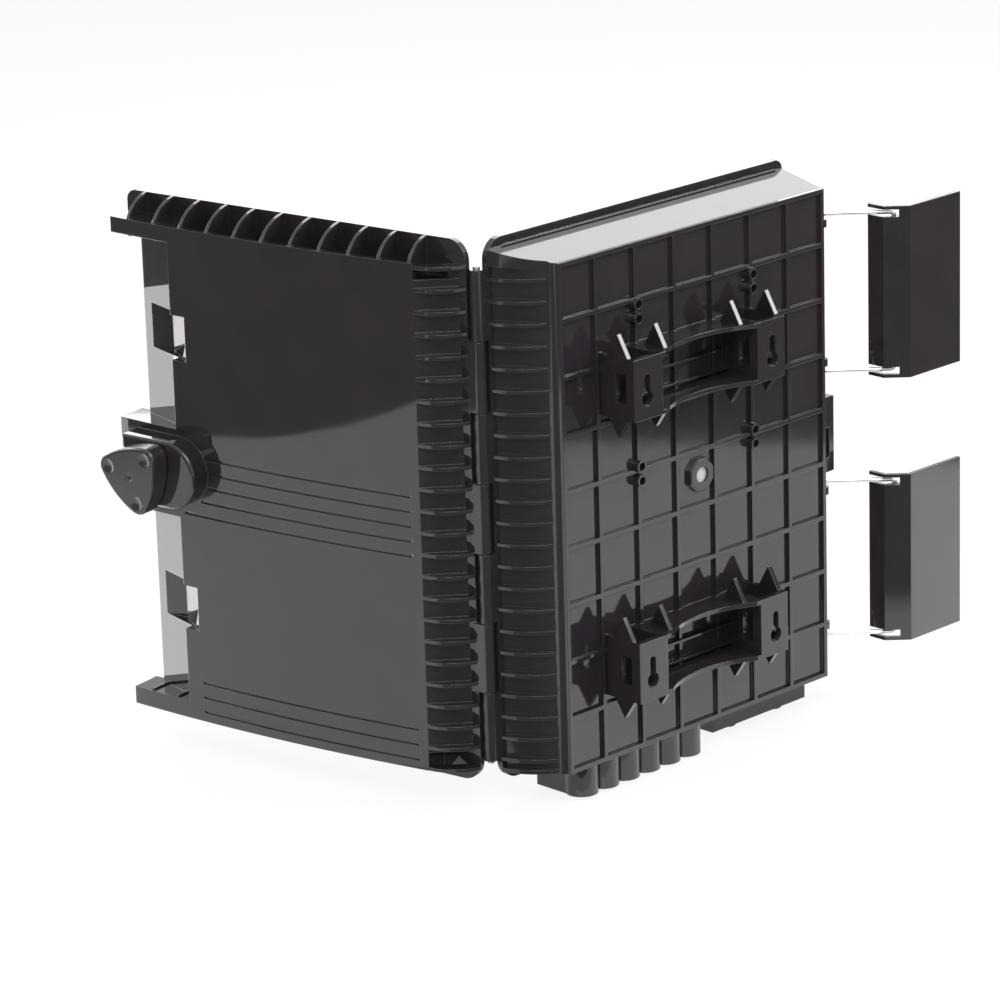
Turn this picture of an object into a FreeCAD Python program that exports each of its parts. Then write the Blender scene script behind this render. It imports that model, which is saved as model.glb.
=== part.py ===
import FreeCAD, Part
import math
import os

V = FreeCAD.Vector
UP = V(0, 0, 1)

# Frame: millimetres, +Z up, +Y into the wall, origin in the middle of the four keyholes on the wall plane.
# The latch side is at -X and the hinge side at +X.

# Overall size, and where the middle of the rim lies from the keyholes
box_wide = 241.0
box_high = 315.0
rim_mid_x = -5.0
rim_mid_z = 18.5
wall_gap = 25.0
base_depth = 37.0
cover_depth = 20.0
wall = 2.5
back_y = -wall_gap
part_y = back_y - base_depth
rim_x = (rim_mid_x - box_wide / 2, rim_mid_x + box_wide / 2)
rim_z = (rim_mid_z - box_high / 2, rim_mid_z + box_high / 2)

# Rim shared by base and cover, with the seal groove in the base and the tongue on the cover
rim_thick = 4.0
rim_hinge_r = 12.0
rim_latch_r = 6.0
rim_line_wide = 1.2
rim_line_deep = 0.8
rim_line_inset = 5.0
seal_inset_latch = 13.0
seal_inset_hinge = 11.5
seal_inset_foot = 4.5
seal_inset_head = 11.0
seal_corner_latch = 4.0
seal_corner_hinge = 8.0
seal_groove_wide = 4.0
seal_groove_deep = 2.6
seal_thick = 1.2
seal_clear = 0.05
tongue_wide = 2.0
tongue_clear = 0.1
lid_gap = 0.2
rim_back_y = part_y + rim_thick
seal_line_x = (rim_x[0] + seal_inset_latch, rim_x[1] - seal_inset_hinge)
seal_line_z = (rim_z[0] + seal_inset_foot, rim_z[1] - seal_inset_head)

# Base housing: body inside the rim, ribbed back, mouth
body_inset_latch = 1.0
body_inset_hinge = 19.0
body_inset_foot = 5.5
body_inset_head = 12.5
head_draft = 7.0
mouth_lip_latch = 16.0
mouth_lip_hinge = 2.5
mouth_lip_z = 5.0
back_corner = 4.0
rib_high = 2.0
rib_wide = 2.6
rib_columns = 7
rib_rows = 9
body_x = (rim_x[0] + body_inset_latch, rim_x[1] - body_inset_hinge)
body_z = (rim_z[0] + body_inset_foot, rim_z[1] - body_inset_head)
mouth_x = (body_x[0] + mouth_lip_latch, body_x[1] - mouth_lip_hinge)
mouth_z = (body_z[0] + mouth_lip_z, body_z[1] - mouth_lip_z)
skin_y = back_y - rib_high
floor_y = skin_y - wall

# Bosses on the ribbed back: four pairs of hollow round ones, each on the rib of a numbered column, and the
# eight-sided hub that holds the vent disc
pip_at = ((5, 124.0), (2, 122.0), (5, 30.0), (2, 30.0))
pip_r = 3.7
pip_hole_r = 2.3
pip_apart = 8.4
pip_high = 2.5
hub_at = (-17.5, 17.0)
hub_r = 10.5
hub_sides = 8
hub_high = 1.0
hub_edge = 0.8
hub_hole_r = 4.75
vent_fit = 0.05
vent_thick = 1.5

# Cooling fins along the hinge side of base and cover
fin_thick = 2.0
fin_pitch = 12.7
base_fin_deep = 4.0
base_fin_bulge = 3.0
base_fin_start = 6.5
base_fin_head = 9.8
cover_fin_bulge = 4.5
cover_fin_head = 14.7
cover_fin_foot = 6.0

# Wall and pole brackets
key_x = 51.5
key_z = 82.4
key_hole_r = 4.5
key_slot_r = 2.3
key_length = 18.5
pad_in = 12.5
pad_out = 10.5
pad_top = 23.5
pad_bottom = -12.0
pad_thick = 4.0
tower_wall = 3.0
gable_high = 13.0
gable_low = 11.0
gable_base = 15.0
gable_inset = 5.0
gable_fin_in = 9.5
strap_thick = 7.5
strap_inset = 6.5
strap_high = 17.0
saddle_in = 3.0
saddle_deep = 10.0
saddle_rib = 1.5
saddle_ribs_z = (4.0, -7.5)
pad_x = (key_x - pad_in, key_x + pad_out)
gable_y = (-gable_inset - gable_base, -gable_inset)
strap_y = (-strap_inset - strap_thick, -strap_inset)

# Cable entry block under the base
port_drop = 17.5
drop_ports = 6
drop_pitch = 17.0
drop_inset = 21.0
drop_hole_r = 4.5
drop_hole_off = 18.0
flute_r = 9.6
trunk_inset = 0.5
trunk_wide = 81.0
trunk_deep = 19.0
trunk_first = 20.5
trunk_apart = 40.0
trunk_hole_r = 5.5
trunk_hole_off = 11.2
seal_wall = 1.6
seal_collar = 1.5
seal_collar_long = 2.5
seal_nose = 2.0
seal_nose_wall = 1.5
port_z = (body_z[0] - port_drop, body_z[0] + wall)
drop_x = [body_x[1] - drop_inset - i * drop_pitch for i in reversed(range(drop_ports))]
drop_y = part_y + drop_hole_off
trunk_x = (body_x[0] + trunk_inset, body_x[0] + trunk_inset + trunk_wide)
trunk_hole_x = [trunk_x[0] + trunk_first + i * trunk_apart for i in range(2)]
trunk_hole_y = part_y + trunk_hole_off

# Hinge
hinge_out = 4.5
hinge_inset_foot = 13.0
hinge_inset_head = 16.0
knuckles = 7
knuckle_clear = 0.4
knuckle_gap = 0.4
knuckle_web = 2.0
pin_r = 2.0
pin_fit = 0.05
pin_over = 1.5
cover_open = 99.0
hinge_x = rim_x[1] + hinge_out
hinge_y = part_y
hinge_z = (rim_z[0] + hinge_inset_foot, rim_z[1] - hinge_inset_head)
knuckle_r = hinge_out - knuckle_clear

# Cover, described closed: crowned face, end lips, slanted latch ledge beside the cut-back rim
cover_rim = 3.5
face_inset_latch = 44.5
face_inset_hinge = 24.5
lip_inset = 0.5
foot_inset = 5.0
crown = 5.0
main_inset_head = 21.7
main_inset_foot = 17.5
lip_inset_head = 12.5
lip_inset_foot = 7.0
lip_deep = 4.0
ledge_drop = 2.5
ledge_inset = 10.0
latch_recess = 9.0
ledge_foot = 0.8
hood_rib_pitch = 20.0
hood_rib_inset = 14.0
hood_rib_thick = 2.0
hood_bulge_head = 3.5
hood_bulge_foot = 0.5
mouth_clear = 1.0
cover_y = part_y - lid_gap
shoulder_y = cover_y - cover_rim
face_edge_y = part_y - cover_depth
face_edge_x = (rim_x[0] + face_inset_latch, rim_x[1] - face_inset_hinge)
lip_end_x = rim_x[0] + lip_inset
main_z = (rim_z[0] + main_inset_foot, rim_z[1] - main_inset_head)
lip_z = (rim_z[0] + lip_inset_foot, rim_z[1] - lip_inset_head)
ledge = ((face_edge_x[0], face_edge_y + ledge_drop), (rim_x[0] + ledge_inset, shoulder_y - ledge_foot))
crown_mid_x = (lip_end_x + face_edge_x[1]) / 2
crown_half = (face_edge_x[1] - lip_end_x) / 2
crown_r = (crown_half ** 2 + crown ** 2) / (2 * crown)
crown_centre_y = face_edge_y - crown + crown_r

# Cover: grooves of the face, and the pockets that take the hooks of the latch levers
groove_wide = 1.6
groove_deep = 0.9
groove_inset = 6.0
groove_gap = 1.0
lock_grooves = 5
lock_groove_pitch = 8.7
lock_groove_drop = 8.0
foot_grooves = 3
foot_groove_pitch = 9.0
foot_groove_up = 31.0
foot_groove_inset = 12.0
pocket_out = 7.2
pocket_long = 15.7
pocket_in = 10.4
pocket_half = 13.3

# Lock
lock_inset = 30.5
lock_z = 20.0
lock_block_up = 24.0
lock_block_down = 29.0
boss_inset = 14.0
boss_off = 17.0
boss_r = 20.0
boss_high = 17.0
boss_wall = 3.0
boss_edge = 2.0
sleeve_r = 9.0
sleeve_end = 3.8
spindle_r = 5.0
spindle_fit = 0.05
nose_r = 3.5
ring_root_r = 3.8
ring_off = 6.0
ring_wide = 2.0
ring_fit = 0.05
ring_proud = 0.02
side_clear = 0.1
clip_r = 7.5
clip_off = 0.4
clip_thick = 1.0
knob_thick = 12.0
knob_gap = 1.0
knob_lobe_r = 7.0
knob_lobe_at = 16.0
knob_flank = 2.0
knob_round = 2.0
knob_dimple_r = 4.2
knob_dimple_deep = 1.1
knob_eye_r = 2.6
knob_angles = (-75.0, 45.0, 165.0)
cam_long = 26.0
cam_wide = 12.0
cam_thick = 2.5
cam_clear = 0.5
cam_screw_long = 7.0
lock_x = rim_x[0] + lock_inset
lock_block_z = (lock_z - lock_block_down, lock_z + lock_block_up)
boss_start_x = lip_end_x + boss_inset
boss_round_x = lock_x + boss_off
boss_y = face_edge_y - boss_high
sleeve_end_y = cover_y - sleeve_end
cam_y = part_y + rim_thick + cam_clear
cam_back = cam_y + cam_thick
knob_front = boss_y - knob_gap - knob_thick
ring_y = (boss_y + ring_off, boss_y + ring_off + ring_wide)
clip_y = (sleeve_end_y + clip_off, sleeve_end_y + clip_off + clip_thick)

# Latches, two alike
latch_inset_head = 77.5
latch_inset_foot = 75.5
bail_out = 7.7
bail_back = 9.0
bail_wire_r = 1.3
bail_fit = 0.05
bail_bend = 2.6
bail_half = 47.25
bail_rest_angle = 135.6
bail_closed_out = 5.5
bail_closed_drop = 5.8
bail_end = 1.0
ear_long = 4.5
ear_r = 3.2
ear_gap = 3.2
lever_over = 4.25
lever_wall = 2.5
lever_leg_end = (-7.8, 13.4)
lever_leg_corner = (-7.8, 1.7)
lever_plate_corner = (3.2, -9.3)
lever_plate_long = 45.0
lever_window_half = 2.2
lever_window_x = 2.5
lever_window_y = -4.8
lever_lug = 4.0
lever_lug_high = 3.0
lever_lug_top = ((4.2, 1.2), (0.5, 4.2))
hook_at = 26.0
hook_thick = 2.5
hook_deep = 12.3
hook_clear = 0.5
latch_mid_z = (rim_z[1] - latch_inset_head, rim_z[0] + latch_inset_foot)
bail_pivot = (body_x[0] - bail_out, back_y - bail_back)
bail_closed_at = (body_x[0] - bail_closed_out, face_edge_y + bail_closed_drop)

# Guard lug on the latch side of the base, opposite the lock
guard_out = 10.0
guard_slope = 2.5
guard_y = (-6.0, -9.0, -13.0, -27.0, -32.0)
guard_up = 20.0
guard_down = 25.0
guard_wall = 5.0
guard_slot_y = (-23.0, -16.0)
guard_floor = 1.5

# Screws, bosses and sheet fittings inside
screw_r = 1.6
screw_head_r = 3.0
screw_head = 2.0
screw_long = 6.0
screw_bite = 0.05
screw_clear = 0.2
boss_root = 0.5
post_r = 4.0
post_high = 4.0
post_floor = 0.3
sheet = 2.0
post_top_y = floor_y - post_high
plate_y = (post_top_y - sheet, post_top_y)

# Splice tray on its hinge bracket
loop_room_latch = 58.5
loop_room_hinge = 40.5
tray_head_room = 15.5
tray_axis_up = 17.5
tray_rise = 6.0
tray_axis_off = 16.5
tray_deep = 10.0
tray_wall = 1.5
tray_corner = 14.0
tray_lug_r = 4.0
tray_lug_wide = 4.0
tray_pin_r = 2.0
tray_pin_fit = 0.05
tray_pin_over = 0.5
tray_side_clear = 0.3
ear_round = 5.0
bracket_foot = (-7.0, 4.0)
bracket_screw_inset = 11.0
bracket_screw_drop = 3.0
lid_thick = 1.2
lid_clear = 0.2
lid_pull_r = 6.0
comb_slots = 6
comb_pitch = 5.0
comb_gap = 3.4
comb_half = 10.0
comb_off = 18.0
comb_floor = 1.5
reel_r = 15.0
reel_clear = 4.5
gate_off = 25.0
gate_half = 6.0
tray_x = (body_x[0] + loop_room_latch, body_x[1] - loop_room_hinge)
tray_axis_z = rim_mid_z + tray_axis_up
tray_z = (tray_axis_z + tray_rise, body_z[1] - tray_head_room)
tray_axis_y = floor_y - tray_axis_off
tray_y = (tray_axis_y - tray_deep / 2, tray_axis_y + tray_deep / 2)
tray_axis = (tray_axis_y, tray_axis_z)
tray_mid = ((tray_x[0] + tray_x[1]) / 2, (tray_z[0] + tray_z[1]) / 2)
bracket_screw_at = [(x, tray_axis_z - bracket_screw_drop)
                    for x in (tray_x[0] + bracket_screw_inset, tray_x[1] - bracket_screw_inset)]

# Patching row
panel_drop = 38.5
panel_end = 3.0
panel_foot = 15.0
panel_deep = 22.5
panel_screw_off = 55.0
panel_screw_up = 10.0
adapters_count = 8
adapter_pitch = 16.0
adapter_size = (12.6, 9.0, 27.0)
adapter_off = 14.0
adapter_clear = 0.2
adapter_collar = 1.0
adapter_collar_thick = 1.58
adapter_seat = 0.02
plug_hole = (8.8, 6.8, 10.0)
cap_long = 5.0
cap_clear = 0.1
cap_seat = 0.05
cap_short = 2.0
panel_z = rim_mid_z - panel_drop
panel_half = adapters_count * adapter_pitch / 2 + panel_end
panel_x = (tray_mid[0] - panel_half, tray_mid[0] + panel_half)
panel_front_y = floor_y - panel_deep
adapter_y = floor_y - adapter_off
panel_screw_at = [(tray_mid[0] + s * panel_screw_off, panel_z + panel_screw_up) for s in (-1, 1)]

# Cable fixing and fibre guides
clamp_up = 33.5
clamp_r = 6.5
clamp_wide = 12.0
clamp_screw_off = 12.5
clamp_foot = 10.0
strength_up = 22.0
strength_size = (12.0, 5.0, 10.0)
strength_hole_r = 1.0
strength_hole_off = 3.5
strength_hole_up = 1.2
strength_screw_long = 8.0
guide_r = 7.0
guide_wall = 1.4
guide_long = 8.0
guide_foot = 10.0
guide_gap = 3.0
guide_inset_latch = 25.5
guide_inset_hinge = 16.5
guide_heads = (88.5, 33.5)
clamp_at = [(x, body_z[0] + clamp_up) for x in trunk_hole_x]
clamp_screw_at = [(x + s * clamp_screw_off, z) for x, z in clamp_at for s in (-1, 1)]
strength_at = [(x, z + strength_up) for x, z in clamp_at]
guide_x = (body_x[0] + guide_inset_latch, body_x[1] - guide_inset_hinge)
guide_z = [body_z[1] - head for head in guide_heads]


def box(x, y, z):
    return Part.makeBox(x[1] - x[0], y[1] - y[0], z[1] - z[0], V(x[0], y[0], z[0]))


def span(middle, half):
    return (middle - half, middle + half)


def rod(radius, start, end):
    run = V(*end) - V(*start)
    return Part.makeCylinder(radius, run.Length, V(*start), run)


def tube(outer, inner, start, end):
    return rod(outer, start, end).cut(rod(inner, start, end))


def post(radius, at, y):
    """Round pin along Y at one X and Z."""
    return rod(radius, (at[0], y[0], at[1]), (at[0], y[1], at[1]))


def outline(points, height):
    """Closed wire at one height. A point of four numbers ends an arc through its first two."""
    edges = []
    last = points[-1][-2:]
    for point in points:
        start = V(last[0], last[1], height)
        end = V(point[-2], point[-1], height)
        if len(point) == 4:
            edges.append(Part.Arc(start, V(point[0], point[1], height), end).toShape())
        elif (end - start).Length > 1e-6:
            edges.append(Part.makeLine(start, end))
        last = point[-2:]
    return Part.Wire(edges)


def prism(points, z):
    """Solid standing on an X-Y outline between two heights."""
    return Part.Face(outline(points, z[0])).extrude(V(0, 0, z[1] - z[0]))


def side_prism(points, x):
    """Solid from a Y-Z outline between two X planes."""
    solid = prism(points, x)
    solid.rotate(V(0, 0, 0), V(1, 1, 1), 120)
    return solid


def front_prism(points, y):
    """Solid from an X-Z outline between two Y planes."""
    solid = prism(points, (-y[1], -y[0]))
    solid.rotate(V(0, 0, 0), V(1, 0, 0), 90)
    return solid


def is_corner(edge, x):
    ends = [v.Point for v in edge.Vertexes]
    straight = isinstance(edge.Curve, Part.Line)
    return straight and abs(ends[0].y - ends[1].y) > 1e-6 and abs(ends[0].x - x) < 1e-6


def rounded(x, z, y, latch_r, hinge_r):
    """Plate on the X-Z plane with rounded corners on its latch side and hinge side."""
    plate = box(x, y, z)
    plate = plate.makeFillet(hinge_r, [e for e in plate.Edges if is_corner(e, x[1])])
    return plate.makeFillet(latch_r, [e for e in plate.Edges if is_corner(e, x[0])])


def fuse(shapes):
    return shapes[0].multiFuse(shapes[1:]).removeSplitter()


def bulged(start, end, bulge):
    """Point beside the middle of a chord, to the right of the way from start to end."""
    dx, dy = end[0] - start[0], end[1] - start[1]
    length = math.hypot(dx, dy)
    mid = ((start[0] + end[0]) / 2, (start[1] + end[1]) / 2)
    return (mid[0] + bulge * dy / length, mid[1] - bulge * dx / length)


def under_head(shape, inset):
    """Cut a piece of the base down to the slanted head wall, or to a face set below it."""
    low = body_z[1] - inset
    high = low + head_draft
    over = high + head_draft
    slope = [(skin_y, low), (rim_back_y, high), (part_y, high), (part_y, over), (back_y, over), (back_y, low)]
    return shape.cut(side_prism(slope, (rim_x[0] - 1, rim_x[1] + 1)))


def seal_band(half_wide, y):
    """Closed band of rectangular section that follows the seal line."""
    bands = []
    for grow in (half_wide, -half_wide):
        bands.append(rounded((seal_line_x[0] - grow, seal_line_x[1] + grow),
                             (seal_line_z[0] - grow, seal_line_z[1] + grow), y,
                             seal_corner_latch + grow, seal_corner_hinge + grow))
    return bands[0].cut(bands[1])


def screw(at, axis, length):
    """Pan-head screw whose head stands on the point and whose shank runs along the axis."""
    head = Part.makeCylinder(screw_head_r, screw_head, V(*at), -V(*axis))
    return head.fuse(Part.makeCylinder(screw_r, length, V(*at), V(*axis)))


def screws(places, head_y, length):
    return Part.makeCompound([screw((x, head_y, z), (0, 1, 0), length) for x, z in places])


def screw_holes(shape, places, y):
    """Clearance holes for screws along Y."""
    for at in places:
        shape = shape.cut(post(screw_r + screw_clear, at, (y[0] - 1, y[1] + 1)))
    return shape


def knuckle(z, side):
    """Hinge eye with its web, which stands on the base side (1) or the cover side (-1)."""
    eye = rod(knuckle_r, (hinge_x, hinge_y, z[0]), (hinge_x, hinge_y, z[1]))
    web_y = sorted((hinge_y + side * lid_gap, hinge_y + side * knuckle_r))
    return eye.fuse(box((rim_x[1] - knuckle_web, hinge_x), web_y, z))


def bracket(big_hole_z):
    """Wall and pole bracket: end walls with gables, keyhole pads, and two saddle walls with gable fins."""
    top = big_hole_z + pad_top
    bottom = big_hole_z + pad_bottom
    peak_y = (gable_y[0] + gable_y[1]) / 2
    gable = [(gable_y[0], bottom), (peak_y, bottom - gable_low), (gable_y[1], bottom),
             (gable_y[1], top), (peak_y, top + gable_high), (gable_y[0], top)]
    arm = pad_x[0] + tower_wall
    reach = pad_x[0] - saddle_in
    saddle = [(-arm, skin_y), (arm, skin_y), (arm, 0), (reach, 0), (0, -saddle_deep, -reach, 0), (-arm, 0)]
    solids = [prism(saddle, z) for z in ((bottom, bottom + wall), (top - wall, top))]
    for side in (-1, 1):
        pad = sorted((side * pad_x[0], side * pad_x[1]))
        end = sorted((side * pad_x[1], side * (pad_x[1] - tower_wall)))
        inner = sorted((side * pad_x[0], side * arm))
        fin_x = pad_x[0] - gable_fin_in
        fin = sorted((side * fin_x, side * (fin_x + tower_wall)))
        solids += [box(pad, (-pad_thick, 0), (bottom, top)), box(end, (skin_y, 0), (bottom, top)),
                   box(inner, (skin_y, 0), (bottom, top)), side_prism(gable, end)]
        solids.append(side_prism(gable, fin).cut(box(fin, gable_y, (bottom + wall, top - wall))))
    body = fuse(solids)
    body = body.cut(box((-pad_x[1] - 1, pad_x[1] + 1), strap_y, span((top + bottom) / 2, strap_high / 2)))
    slot_end = big_hole_z - key_hole_r + key_length - key_slot_r
    through = (-pad_thick - 1, 1)
    for x in (-key_x, key_x):
        body = body.cut(post(key_hole_r, (x, big_hole_z), through))
        body = body.cut(post(key_slot_r, (x, slot_end), through))
        body = body.cut(box(span(x, key_slot_r), through, (big_hole_z, slot_end)))
    line_y = (skin_y, back_y + saddle_rib)
    lines = [box((-pad_x[0], pad_x[0]), line_y, (big_hole_z + z, big_hole_z + z + saddle_rib))
             for z in saddle_ribs_z]
    return fuse([body] + lines)


def bushing(x, y, hole_r):
    """Rubber entry bushing: collar inside the base, sleeve through the block, thin closed nose."""
    inside = port_z[1] + seal_clear
    nose = port_z[0] - seal_nose
    end = inside + seal_collar_long
    sleeve = rod(hole_r - seal_clear, (x, y, nose), (x, y, inside))
    collar = rod(hole_r + seal_collar, (x, y, inside), (x, y, end))
    bore = rod(hole_r - seal_clear - seal_wall, (x, y, nose + seal_nose_wall), (x, y, end))
    return sleeve.fuse(collar).cut(bore)


def face_y(x, depth=0.0):
    """Front of the crowned face at one X, set back by a depth."""
    return crown_centre_y - math.sqrt((crown_r - depth) ** 2 - (x - crown_mid_x) ** 2)


def face_arc(x0, x1, depth=0.0):
    """Arc of the crowned face from x0 to x1, as an outline point."""
    mid = (x0 + x1) / 2
    return (mid, face_y(mid, depth), x1, face_y(x1, depth))


def face_groove(x, z):
    """Cut for one groove across the face."""
    front = face_edge_y - crown - 1
    edge = [(x[0], front), (x[0], face_y(x[0], groove_deep)),
            face_arc(x[0], x[1], groove_deep), (x[1], front)]
    return prism(edge, span(z, groove_wide / 2))


def swing(shape):
    """Turn a piece of the cover from closed to the open position."""
    turned = shape.copy()
    turned.rotate(V(hinge_x, hinge_y, 0), UP, cover_open)
    return turned


def around(centre, radius, angle):
    turn = math.radians(angle)
    return (centre[0] + radius * math.cos(turn), centre[1] + radius * math.sin(turn))


def along_lock(radius, y):
    return post(radius, (lock_x, lock_z), y)


def knob_outline():
    """Three lobes joined by large flank arcs that run smoothly into them."""
    centre = (lock_x, lock_z)
    flank = knob_lobe_at / 2 + knob_flank
    flank_back = (knob_lobe_at ** 2 - flank ** 2) / (2 * flank - knob_lobe_at)
    meet = math.degrees(math.atan2(knob_lobe_at * math.sin(math.pi / 3), knob_lobe_at / 2 + flank_back))
    edge = []
    for angle in knob_angles:
        lobe = around(centre, knob_lobe_at, angle)
        flank_mid = around(centre, flank + knob_lobe_r, angle - 60)
        edge.append(flank_mid + around(lobe, knob_lobe_r, angle - 60 + meet))
        edge.append(around(lobe, knob_lobe_r, angle) + around(lobe, knob_lobe_r, angle + 60 - meet))
    return edge


def bent_wire(points, bend, radius):
    """Round wire along a path of straight runs with rounded square bends."""
    points = [V(*p) for p in points]
    edges = []
    last = points[0]
    for before, corner, after in zip(points, points[1:], points[2:]):
        inward = (before - corner).normalize()
        onward = (after - corner).normalize()
        start = corner + inward * bend
        end = corner + onward * bend
        middle = corner + (inward + onward) * bend * (1 - math.sqrt(0.5))
        edges += [Part.makeLine(last, start), Part.Arc(start, middle, end).toShape()]
        last = end
    edges.append(Part.makeLine(last, points[-1]))
    section = Part.Wire(Part.makeCircle(radius, points[0], points[1] - points[0]))
    return Part.Wire(edges).makePipeShell([section], True, False)


def save(name, shape):
    shape.exportStep("parts/" + name + ".step")


os.makedirs("parts", exist_ok=True)

# Base: shell with slanted hinge side and head, rim, fins
slope_start = (body_x[1], back_y - base_fin_start)
slope_end = (rim_x[1] - base_fin_deep, rim_back_y)
corner_mid = back_corner * (1 - math.sqrt(0.5))
shell = prism([(body_x[0], part_y), (body_x[0], skin_y), (body_x[1] - back_corner, skin_y),
               (body_x[1] - corner_mid, skin_y - corner_mid, body_x[1], skin_y - back_corner),
               slope_start, slope_end, (slope_end[0], part_y)], (body_z[0], body_z[1] + head_draft))
shell = under_head(shell, 0)
rim = rounded(rim_x, rim_z, (part_y, rim_back_y), rim_latch_r, rim_hinge_r)
fin_end = (rim_x[1], rim_back_y)
base_fin = [slope_start, (slope_end[0] - 1, rim_back_y), fin_end,
            bulged(fin_end, slope_start, base_fin_bulge) + slope_start]
fin_top = body_z[1] - base_fin_head
base_fins = int((fin_top - body_z[0] - wall) / fin_pitch) + 1
fins = [prism(base_fin, span(fin_top - i * fin_pitch, fin_thick / 2)) for i in range(base_fins)]
fins.append(prism(base_fin, (body_z[0], body_z[0] + wall)))
fins.append(under_head(prism(base_fin, (body_z[1] - wall, body_z[1] + head_draft)), 0))

# Base: ribs of the back on a grid, and the bosses beside them
column = (body_x[1] - body_x[0]) / rib_columns
row = (body_z[1] - body_z[0]) / rib_rows
rib_y = (skin_y - boss_root, back_y)
rib_end = body_x[1] - back_corner
ribs = []
for i in range(rib_columns + 1):
    x = min(max(body_x[0] + i * column, body_x[0] + rib_wide / 2), rib_end)
    ribs.append(box(span(x, rib_wide / 2), rib_y, body_z))
for i in range(rib_rows + 1):
    z = min(max(body_z[0] + i * row, body_z[0] + rib_wide / 2), body_z[1] - rib_wide / 2)
    ribs.append(box((body_x[0], rib_end), rib_y, span(z, rib_wide / 2)))
pips = [(body_x[0] + i * column, z + s * pip_apart / 2) for i, z in pip_at for s in (-1, 1)]
pip_y = (skin_y, back_y + pip_high)
ribs += [post(pip_r, at, (rib_y[0], pip_y[1])) for at in pips]
hub_y = (skin_y, back_y + hub_high)
hub_edges = [around(hub_at, hub_r, 360 / hub_sides * (i + 0.5)) for i in range(hub_sides)]
hub = front_prism(hub_edges, (rib_y[0], hub_y[1]))
ribs.append(hub.makeChamfer(hub_edge, [e for e in hub.Edges if abs(e.BoundBox.YMin - hub_y[1]) < 1e-6]))

# Base: cable entry block, drop entries flush with the back and trunk entries set forward
flute_y = back_y - flute_r
entry = [rod(flute_r, (x, flute_y, port_z[0]), (x, flute_y, port_z[1])) for x in drop_x]
entry.append(box((drop_x[0] - drop_pitch / 2, drop_x[-1] + drop_pitch / 2), (part_y, flute_y), port_z))
entry.append(box(trunk_x, (part_y, part_y + trunk_deep), port_z))

# Base: bail ears on the latch side, and the slotted guard lug opposite the lock
bail_levels = [(mid + side * bail_half, side) for mid in latch_mid_z for side in (-1, 1)]
ears = []
for level, side in bail_levels:
    near = level - side * ear_gap
    ear_z = sorted((near, near - side * ear_long))
    ears.append(rod(ear_r, (*bail_pivot, ear_z[0]), (*bail_pivot, ear_z[1])))
    ears.append(box((bail_pivot[0], body_x[0] + 1), span(bail_pivot[1], ear_r), ear_z))
guard_x = (body_x[0] + 1, body_x[0] - guard_out + guard_slope, body_x[0] - guard_out)
guard_steps = [back_y + y for y in guard_y]
guard_z = (lock_z - guard_down, lock_z + guard_up)
guard = prism([(guard_x[0], guard_steps[0]), (guard_x[1], guard_steps[1]), (guard_x[2], guard_steps[2]),
               (guard_x[2], guard_steps[3]), (guard_x[1], guard_steps[4]),
               (guard_x[0], guard_steps[4])], guard_z)
guard_slot = box((guard_x[2] - 1, body_x[0] - guard_floor),
                 (back_y + guard_slot_y[0], back_y + guard_slot_y[1]),
                 (guard_z[0] + guard_wall, guard_z[1] - guard_wall))

# Base: hollow, mouth, seal groove and holes; the inner face of the slanted side lies one wall inside it
base = fuse([shell, rim] + fins + ribs + [bracket(z) for z in (key_z, -key_z)] + entry + ears + [guard])
lean = (slope_end[0] - slope_start[0]) / (slope_end[1] - slope_start[1])
slant = wall * math.sqrt(1 + lean ** 2)
inside = prism([(body_x[0] + wall, rim_back_y), (body_x[0] + wall, floor_y), (body_x[1] - wall, floor_y),
                (body_x[1] - wall, slope_start[1] + (slant - wall) / lean),
                (slope_end[0] - slant, rim_back_y)], (body_z[0] + wall, body_z[1] + head_draft))
base = base.cut(under_head(inside, wall))
base = base.cut(box(mouth_x, (part_y, rim_back_y), mouth_z))
base = base.cut(seal_band(seal_groove_wide / 2, (part_y, part_y + seal_groove_deep)))
for at in pips:
    base = base.cut(post(pip_hole_r, at, pip_y))
base = base.cut(post(hub_hole_r, hub_at, hub_y))
line_top = rim_z[1] - rim_line_inset + rim_line_wide
base = base.cut(box((rim_x[0] + rim_line_inset, rim_x[1] - rim_hinge_r),
                    (rim_back_y - rim_line_deep, rim_back_y), (line_top - rim_line_wide, line_top)))
base = base.cut(guard_slot)
for level, side in bail_levels:
    hole_end = level - side * (ear_gap + ear_long + bail_end)
    base = base.cut(rod(bail_wire_r + bail_fit, (*bail_pivot, level), (*bail_pivot, hole_end)))
for x in drop_x:
    base = base.cut(rod(drop_hole_r, (x, drop_y, port_z[0]), (x, drop_y, port_z[1])))
for x in trunk_hole_x:
    base = base.cut(rod(trunk_hole_r, (x, trunk_hole_y, port_z[0]), (x, trunk_hole_y, port_z[1])))

# Hinge knuckles: odd ones on the base, even ones on the cover, one pin through all
step = (hinge_z[1] - hinge_z[0]) / knuckles
eyes = [span(hinge_z[0] + (i + 0.5) * step, (step - knuckle_gap) / 2) for i in range(knuckles)]
pin_ends = [(hinge_x, hinge_y, hinge_z[0] - pin_over), (hinge_x, hinge_y, hinge_z[1] + pin_over)]
pin_bore = rod(pin_r + pin_fit, *pin_ends)
base = fuse([base] + [knuckle(z, 1) for z in eyes[0::2]]).cut(pin_bore)

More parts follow.
